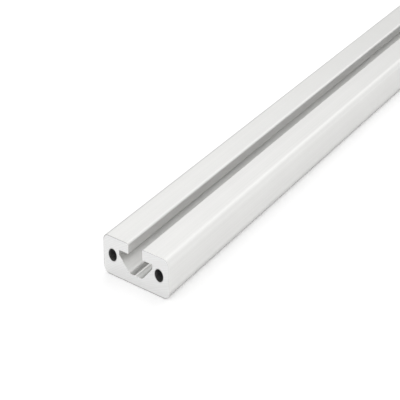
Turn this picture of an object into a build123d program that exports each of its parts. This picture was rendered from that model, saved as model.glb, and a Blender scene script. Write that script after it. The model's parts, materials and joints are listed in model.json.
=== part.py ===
from build123d import *
import os

# Aluminium slot profile, one sawn length of extruded bar. Lengths are in millimetres.
# The bar lies along Y with its slot facing up, and the origin is under its middle.
bar_length = 500.0
section_width = 40.0
section_height = 16.0
top_corner_radius = 2.8
bottom_corner_radius = 3.5

# T-slot along the top face: two lips over an undercut with sloping flanks
slot_opening = 8.5
lip_thickness = 4.4
undercut_width = 20.4
undercut_wall_height = 1.8
slot_floor_width = 7.2
base_thickness = 3.65
mouth_edge_radius = 1.0
lip_foot_radius = 0.3
undercut_roof_radius = 0.5
flank_top_radius = 1.2
flank_foot_radius = 3.0

# Drill guide: a shallow V along the middle of the slot floor, which rises a little towards it
guide_width = 1.1
guide_depth = 0.35
slot_floor_rise = 0.4

# Core bores: one each side of the slot, right through the length, ready for an end screw.
# The share is how much of the metal beside a bore lies between it and the undercut.
core_bore_diameter = 5.0
core_bore_height = 8.4
core_bore_web_share = 0.3

# Sawn ends: the burr is taken off the outline
end_edge_break = 0.1

half_width = section_width / 2
half_opening = slot_opening / 2
half_undercut = undercut_width / 2
half_floor = slot_floor_width / 2
half_guide = guide_width / 2
lip_underside = section_height - lip_thickness
flank_top = lip_underside - undercut_wall_height
guide_top = base_thickness + slot_floor_rise
guide_bottom = guide_top - guide_depth
core_bore_radius = core_bore_diameter / 2
metal_beside_bore = half_width - half_undercut - core_bore_diameter
core_bore_offset = half_undercut + core_bore_web_share * metal_beside_bore + core_bore_radius


def draw_half_outline():
    """Right half of the outline, from under the middle round to the bottom of the drill guide."""
    FilletPolyline(
        (0, 0),
        (half_width, 0),
        (half_width, section_height),
        (half_opening, section_height),
        (half_opening, lip_underside),
        (half_undercut, lip_underside),
        (half_undercut, flank_top),
        (half_floor, base_thickness),
        (half_guide, guide_top),
        radius=[
            bottom_corner_radius,
            top_corner_radius,
            mouth_edge_radius,
            lip_foot_radius,
            undercut_roof_radius,
            flank_top_radius,
            flank_foot_radius,
        ],
    )
    Line((half_guide, guide_top), (0, guide_bottom))


def draw_section():
    """Section of the bar, as it leaves the die."""
    with BuildSketch(Plane.XZ) as section:
        with BuildLine():
            draw_half_outline()
            mirror(about=Plane.YZ)
        make_face()
        with Locations((-core_bore_offset, core_bore_height), (core_bore_offset, core_bore_height)):
            Circle(core_bore_radius, mode=Mode.SUBTRACT)
    return section.sketch


def saw_bar(section):
    """The section drawn out to its length, with the outline of both ends deburred."""
    bar = extrude(section, amount=bar_length / 2, both=True)
    ends = bar.faces().sort_by(Axis.Y)
    outline_edges = ends[0].outer_wire().edges() + ends[-1].outer_wire().edges()
    return chamfer(outline_edges, end_edge_break)


os.makedirs("parts", exist_ok=True)
profile_bar = saw_bar(draw_section())
export_step(profile_bar, "parts/profile_bar.step")
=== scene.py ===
import json
import math

import bpy
from mathutils import Matrix, Vector


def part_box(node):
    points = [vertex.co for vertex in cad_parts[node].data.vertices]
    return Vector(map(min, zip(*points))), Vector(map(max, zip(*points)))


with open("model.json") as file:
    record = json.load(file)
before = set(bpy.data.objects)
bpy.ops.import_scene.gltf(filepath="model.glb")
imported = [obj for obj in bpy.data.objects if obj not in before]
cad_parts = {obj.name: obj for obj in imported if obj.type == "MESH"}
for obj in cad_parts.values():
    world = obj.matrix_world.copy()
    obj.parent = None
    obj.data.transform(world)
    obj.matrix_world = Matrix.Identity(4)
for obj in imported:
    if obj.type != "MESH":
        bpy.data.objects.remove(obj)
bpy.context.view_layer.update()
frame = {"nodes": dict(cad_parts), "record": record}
bar = frame["nodes"]["profile_bar"]
bar_low, bar_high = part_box("profile_bar")
front_foot = Vector((0, bar_low.y, bar_low.z))
millimetre = 0.001
white = (1, 1, 1, 1)
across_the_bar = (1, 0, 1)

# Camera: where it stands, measured from under the middle of the bar's front end
camera_offset = Vector((423.5, -482.4, 361.1)) * millimetre
sight_azimuth = math.radians(38.48)
sight_elevation = math.radians(27.07)
camera_roll = math.radians(-2.89)
back_tilt = math.radians(38.58)
film_width = 36.0
photo_width_pixels = 400
focal_length_pixels = 1522.0

# Light: a white tent, and one softbox beyond the far end that brightens the top near the front end
tent_brightness = 1.0
softbox_offset = Vector((-215, 585, 575)) * millimetre
softbox_width = 900 * millimetre
softbox_height = 550 * millimetre
softbox_watts = 0.68

# Floor: white card, lifted to pure white for the eye so that only the bar's own shadow shows
floor_side = 6.0
floor_grey = 0.86
floor_lift = 0.22
floor_gap = 0.05 * millimetre

# Anodised aluminium, etched first: satin all over, and duller where it is seen at a low angle
skin_colour = (0.805, 0.803, 0.791)
metal_share = 0.75
grazing_tint = (0.15, 0.15, 0.15, 1)
satin_roughness = 0.42
roughness_spread = 0.06
die_line_spacing = 0.5 * millimetre
die_line_length = 400 * millimetre
die_line_contrast = 0.04
bloom_size = 25 * millimetre
bloom_contrast = 0.012
grain_size = 0.15 * millimetre
grain_share = 0.5
relief_depth = 0.01 * millimetre

# Streaks and clouds: finer sets over the coarse one, how strong each is, and what counts as low and high
streak_sets = 3
streak_falloff = 0.6
cloud_sets = 1
pattern_low = 0.25
pattern_high = 0.75

# Sawn ends: bare metal with saw marks, and a painted dark rim along the outline that stands in for the
# shading of the broken edges, darkest at the foot as a painted contact shadow
sawn_colour = (0.812, 0.812, 0.808)
sawn_roughness = 0.45
sawn_slope = 0.5
blade_axle = Vector((60, 0, -120)) * millimetre
saw_mark_spacing = 0.3 * millimetre
saw_mark_contrast = 0.08
# Painted rim shade: its corner and width, its depth, the deeper painted contact shadow at the foot and
# its height, and how faint it stays on the +X side
painted_outline_corner = 3.1 * millimetre
painted_outline_width = 0.5 * millimetre
painted_outline_shade = 0.56
painted_foot_shadow = 0.3
painted_foot_shadow_height = 2 * millimetre
painted_outline_right_share = 0.2

# Core bores: painted shade on their walls, and a faint painted shade round their edges on the sawn ends
bore_wall_painted_shade = 0.33
bore_rim_painted_shade = 0.65
bore_rim_painted_width = 0.5 * millimetre


def add_node(tree, kind, name, settings=None, values=None):
    """Adds one shader node, with its settings and the values of its unlinked sockets."""
    node = tree.nodes.new(kind)
    node.name = name
    node.label = name
    for setting, value in (settings or {}).items():
        setattr(node, setting, value)
    for socket, value in (values or {}).items():
        node.inputs[socket].default_value = value
    return node


def connect(tree, term, socket):
    """Links a socket, or sets a plain value."""
    if isinstance(term, bpy.types.NodeSocket):
        tree.links.new(term, socket)
    else:
        socket.default_value = term


def add_math(tree, operation, name, *terms):
    """Adds one Math node. A term is a socket or a plain number."""
    node = add_node(tree, "ShaderNodeMath", name, {"operation": operation})
    for term, socket in zip(terms, node.inputs):
        connect(tree, term, socket)
    return node.outputs["Value"]


def add_vector_math(tree, operation, name, *terms):
    """Adds one Vector Math node. A term is a socket or a plain vector."""
    node = add_node(tree, "ShaderNodeVectorMath", name, {"operation": operation})
    for term, socket in zip(terms, node.inputs):
        connect(tree, term, socket)
    return node.outputs["Value" if operation == "LENGTH" else "Vector"]


def split_axes(tree, name, vector):
    """The X, Y and Z of a vector."""
    node = add_node(tree, "ShaderNodeSeparateXYZ", name)
    tree.links.new(vector, node.inputs["Vector"])
    return node.outputs


def add_range(tree, name, value, start, end, low=0, high=1, blend="LINEAR"):
    """A value from low to high, as the given one goes from start to end."""
    node = add_node(tree, "ShaderNodeMapRange", name, {"interpolation_type": blend})
    terms = {"Value": value, "From Min": start, "From Max": end, "To Min": low, "To Max": high}
    for socket, term in terms.items():
        connect(tree, term, node.inputs[socket])
    return node.outputs["Result"]


def mix_values(tree, name, mask, plain, other):
    """The plain value where the mask is 0, the other one where it is 1."""
    node = add_node(tree, "ShaderNodeMix", name)
    for socket, term in {"Factor": mask, "A": plain, "B": other}.items():
        connect(tree, term, node.inputs[socket])
    return node.outputs["Result"]


def mix_colours(tree, name, mask, plain, other):
    """The plain colour where the mask is 0, the other one where it is 1."""
    node = add_node(tree, "ShaderNodeMix", name, {"data_type": "RGBA"})
    sockets = [socket for socket in node.inputs if socket.enabled]
    for socket, term in zip(sockets, (mask, plain, other)):
        connect(tree, term, socket)
    return next(socket for socket in node.outputs if socket.enabled)


def set_up_camera():
    """Long lens with a tilted back, which draws the bar as tall as the photograph does."""
    lens = bpy.data.cameras.new("photo_camera")
    lens.sensor_width = film_width
    lens.lens = film_width * focal_length_pixels / photo_width_pixels
    camera = bpy.data.objects.new("photo_camera", lens)
    stand = bpy.data.objects.new("camera_stand", None)
    for part in (stand, camera):
        bpy.context.scene.collection.objects.link(part)
    turn = (
        Matrix.Rotation(sight_azimuth, 4, "Z")
        @ Matrix.Rotation(math.pi / 2 - sight_elevation, 4, "X")
        @ Matrix.Rotation(camera_roll, 4, "Z")
    )
    stand.matrix_world = Matrix.Translation(front_foot + camera_offset) @ turn
    camera.parent = stand
    tilted_back = Matrix.Identity(4)
    tilted_back[1][1] = math.cos(back_tilt)
    tilted_back[2][1] = math.sin(back_tilt)
    camera.matrix_parent_inverse = tilted_back
    bpy.context.scene.camera = camera


def set_up_light():
    """White tent all round, with a softbox turned to the front end."""
    world = bpy.data.worlds.new("light_tent")
    bpy.context.scene.world = world
    world.use_nodes = True
    tent = world.node_tree.nodes["Background"]
    tent.inputs["Color"].default_value = white
    tent.inputs["Strength"].default_value = tent_brightness

    lamp = bpy.data.lights.new("softbox", "AREA")
    lamp.shape = "RECTANGLE"
    lamp.size = softbox_width
    lamp.size_y = softbox_height
    lamp.energy = softbox_watts
    softbox = bpy.data.objects.new("softbox", lamp)
    bpy.context.scene.collection.objects.link(softbox)
    softbox.location = front_foot + softbox_offset
    softbox.rotation_euler = (-softbox_offset).to_track_quat("-Z", "Y").to_euler()


def make_floor_material():
    """Matt white card. The lift is only for rays that see it, straight or mirrored in the metal."""
    material = bpy.data.materials.new("white_card")
    material.use_nodes = True
    tree = material.node_tree
    card = tree.nodes["Principled BSDF"]
    card.inputs["Base Color"].default_value = (floor_grey, floor_grey, floor_grey, 1)
    card.inputs["Roughness"].default_value = 1
    card.inputs["Specular IOR Level"].default_value = 0
    card.inputs["Emission Color"].default_value = white
    ray = add_node(tree, "ShaderNodeLightPath", "ray").outputs
    seen = ray["Is Camera Ray"]
    for kind in ("Is Glossy Ray", "Is Transmission Ray"):
        seen = add_math(tree, "MAXIMUM", "seen or " + kind, seen, ray[kind])
    lift = add_math(tree, "MULTIPLY", "lift", seen, floor_lift)
    tree.links.new(lift, card.inputs["Emission Strength"])

    beneath = add_node(tree, "ShaderNodeNewGeometry", "seen from beneath").outputs["Backfacing"]
    clear = add_node(tree, "ShaderNodeBsdfTransparent", "see-through").outputs["BSDF"]
    choice = add_node(tree, "ShaderNodeMixShader", "card or see-through")
    for socket, term in zip(choice.inputs, (beneath, card.outputs["BSDF"], clear)):
        tree.links.new(term, socket)
    tree.links.new(choice.outputs["Shader"], tree.nodes["Material Output"].inputs["Surface"])
    return material


def lay_floor():
    """Square of card under the bar."""
    half = floor_side / 2
    height = bar_low.z - floor_gap
    corners = [
        (-half, -half, height),
        (half, -half, height),
        (half, half, height),
        (-half, half, height),
    ]
    mesh = bpy.data.meshes.new("floor_card")
    mesh.from_pydata(corners, [], [(0, 1, 2, 3)])
    mesh.materials.append(make_floor_material())
    floor = bpy.data.objects.new("floor_card", mesh)
    bpy.context.scene.collection.objects.link(floor)


def find_sawn_ends(tree, facing):
    """Mask of the two sawn ends and their broken edges: 1 there, 0 on the extruded faces."""
    along = split_axes(tree, "facing", facing)["Y"]
    lengthwise = add_math(tree, "ABSOLUTE", "turned lengthwise", along)
    return add_math(tree, "GREATER_THAN", "sawn end", lengthwise, sawn_slope)


def draw_die_lines(tree, spot):
    """Streaks that the die leaves along the bar."""
    spacing = (1 / die_line_spacing, 1 / die_line_length, 1 / die_line_spacing)
    stretched = add_vector_math(tree, "MULTIPLY", "stretched along the bar", spot, spacing)
    lines = add_node(
        tree,
        "ShaderNodeTexNoise",
        "die lines",
        values={"Scale": 1, "Detail": streak_sets, "Roughness": streak_falloff},
    )
    tree.links.new(stretched, lines.inputs["Vector"])
    return lines.outputs["Fac"]


def draw_clouds(tree, name, spot, size):
    """Even cloudiness of one size."""
    clouds = add_node(
        tree,
        "ShaderNodeTexNoise",
        name,
        values={"Scale": 1 / size, "Detail": cloud_sets},
    )
    tree.links.new(spot, clouds.inputs["Vector"])
    return clouds.outputs["Fac"]


def measure_reach(tree, name, spot, axis_point):
    """Distance of a spot from an axis that runs lengthwise through a point."""
    offset = add_vector_math(tree, "SUBTRACT", "from " + name, spot, axis_point)
    across = add_vector_math(tree, "MULTIPLY", "across from " + name, offset, across_the_bar)
    return add_vector_math(tree, "LENGTH", "distance from " + name, across)


def cut_saw_marks(tree, spot):
    """Arcs that the saw blade leaves across the ends."""
    marks = add_node(
        tree,
        "ShaderNodeTexNoise",
        "saw marks",
        {"noise_dimensions": "1D"},
        {"Scale": 1 / saw_mark_spacing, "Detail": streak_sets, "Roughness": streak_falloff},
    )
    reach = measure_reach(tree, "blade axle", spot, blade_axle)
    tree.links.new(reach, marks.inputs["W"])
    return marks.outputs["Fac"]


def trace_painted_outline(tree, spot):
    """Mask for the painted rim shade of a sawn end, along the bar's rounded outline: 1 at the edge,
    falling to 0 inside.
    """
    middle = (bar_low + bar_high) / 2
    corner_centre = bar_high - middle - Vector((painted_outline_corner, 0, painted_outline_corner))
    nothing = Vector()
    offset = add_vector_math(tree, "SUBTRACT", "from the middle", spot, middle)
    folded = add_vector_math(tree, "ABSOLUTE", "all quarters alike", offset)
    past = add_vector_math(tree, "SUBTRACT", "past the corner's centre", folded, corner_centre)
    outer = add_vector_math(tree, "MAXIMUM", "in the corner", past, nothing)
    corner = measure_reach(tree, "corner", outer, nothing)
    sides = split_axes(tree, "sides", past)
    nearest = add_math(tree, "MAXIMUM", "nearest side", sides["X"], sides["Z"])
    inside = add_math(tree, "MINIMUM", "inside", nearest, 0)
    depth = add_math(tree, "ADD", "distance from the corner's centre", corner, inside)
    return add_range(tree, "rim", depth, painted_outline_corner - painted_outline_width, painted_outline_corner, blend="SMOOTHSTEP")


def paint_outline_shade(tree, spot):
    """Painted shade along a sawn end's rim, standing in for the shading of its broken edges: faint on
    the +X side, and darkest at the foot as a painted contact shadow.
    """
    sides = split_axes(tree, "place on the end", spot)
    foot = add_range(tree, "foot", sides["Z"], bar_low.z + painted_foot_shadow_height, bar_low.z)
    across = add_range(
        tree, "painted outline strength across the bar", sides["X"], bar_high.x, bar_low.x, low=painted_outline_right_share
    )
    painted_outline_strength = add_math(tree, "MAXIMUM", "painted_outline_strength", across, foot)
    painted_outline_mask = add_math(tree, "MULTIPLY", "painted outline mask", trace_painted_outline(tree, spot), painted_outline_strength)
    full_shade = mix_values(tree, "full rim shade", foot, painted_outline_shade, painted_foot_shadow)
    return mix_values(tree, "rim shade", painted_outline_mask, 1, full_shade)


def find_bores(tree, spot):
    """Mask of the painted shade in the two core bores: 1 on their walls, falling to 0 round their edges.
    """
    bores = []
    for mount in frame["record"]["mounts"]:
        if mount["kind"] == "bore":
            reach = measure_reach(tree, mount["name"], spot, mount["pos_m"])
            wall = mount["dims"]["r_mm"] * millimetre
            edge = wall + bore_rim_painted_width
            bore = add_range(tree, mount["name"], reach, edge, wall, blend="SMOOTHSTEP")
            bores.append(bore)
    return add_math(tree, "MAXIMUM", "bore", *bores)


def vary(tree, name, pattern, middle, spread):
    """A value that follows a pattern, a little below and above its middle."""
    low, high = middle - spread, middle + spread
    return add_range(tree, name, pattern, pattern_low, pattern_high, low, high)


def shade_colour(tree, name, colour, shade):
    """A colour made lighter or darker by a shade that varies over the surface."""
    node = add_node(tree, "ShaderNodeVectorMath", name, {"operation": "SCALE"}, {"Vector": colour})
    tree.links.new(shade, node.inputs["Scale"])
    return node.outputs["Vector"]


def make_metal():
    """Satin anodised aluminium with die lines, and bare metal with saw marks on the ends."""
    material = bpy.data.materials.new("anodised_aluminium")
    material.use_nodes = True
    tree = material.node_tree
    metal = tree.nodes["Principled BSDF"]
    metal.inputs["Metallic"].default_value = metal_share
    metal.inputs["Specular Tint"].default_value = grazing_tint
    place = add_node(tree, "ShaderNodeTexCoord", "place")
    spot = place.outputs["Object"]
    sawn = find_sawn_ends(tree, place.outputs["Normal"])
    lines = draw_die_lines(tree, spot)
    marks = cut_saw_marks(tree, spot)
    bloom = draw_clouds(tree, "anodising bloom", spot, bloom_size)
    grain = draw_clouds(tree, "etched grain", spot, grain_size)
    bores = find_bores(tree, spot)

    line_shade = vary(tree, "die line shade", lines, 1, die_line_contrast)
    bloom_shade = vary(tree, "bloom shade", bloom, 1, bloom_contrast)
    # Painted shade on the bore walls
    wall_painted_shade = mix_values(tree, "painted shade on the bore walls", bores, 1, bore_wall_painted_shade)
    open_shade = add_math(tree, "MULTIPLY", "open skin shade", line_shade, bloom_shade)
    skin_shade = add_math(tree, "MULTIPLY", "skin shade", open_shade, wall_painted_shade)
    mark_shade = vary(tree, "saw mark shade", marks, 1, saw_mark_contrast)
    # Painted shade on the sawn ends: round the bores, and along the rim
    end_painted_shade = mix_values(tree, "painted shade round the bores", bores, paint_outline_shade(tree, spot), bore_rim_painted_shade)
    end_shade = add_math(tree, "MULTIPLY", "end shade", mark_shade, end_painted_shade)
    skin = shade_colour(tree, "skin colour", skin_colour, skin_shade)
    end = shade_colour(tree, "sawn colour", sawn_colour, end_shade)
    colour = mix_colours(tree, "skin or sawn end", sawn, skin, end)
    tree.links.new(colour, metal.inputs["Base Color"])

    skin_roughness = vary(tree, "skin roughness", lines, satin_roughness, roughness_spread)
    end_roughness = vary(tree, "end roughness", marks, sawn_roughness, roughness_spread)
    roughness = mix_values(tree, "roughness", sawn, skin_roughness, end_roughness)
    tree.links.new(roughness, metal.inputs["Roughness"])

    skin_relief = add_math(tree, "MULTIPLY_ADD", "skin relief", grain, grain_share, lines)
    relief = mix_values(tree, "relief", sawn, skin_relief, marks)
    bump = add_node(tree, "ShaderNodeBump", "surface relief", values={"Distance": relief_depth})
    tree.links.new(relief, bump.inputs["Height"])
    tree.links.new(bump.outputs["Normal"], metal.inputs["Normal"])
    return material


set_up_camera()
set_up_light()
lay_floor()
bpy.context.scene.view_settings.view_transform = "Standard"
bar.material_slots[0].material = make_metal()
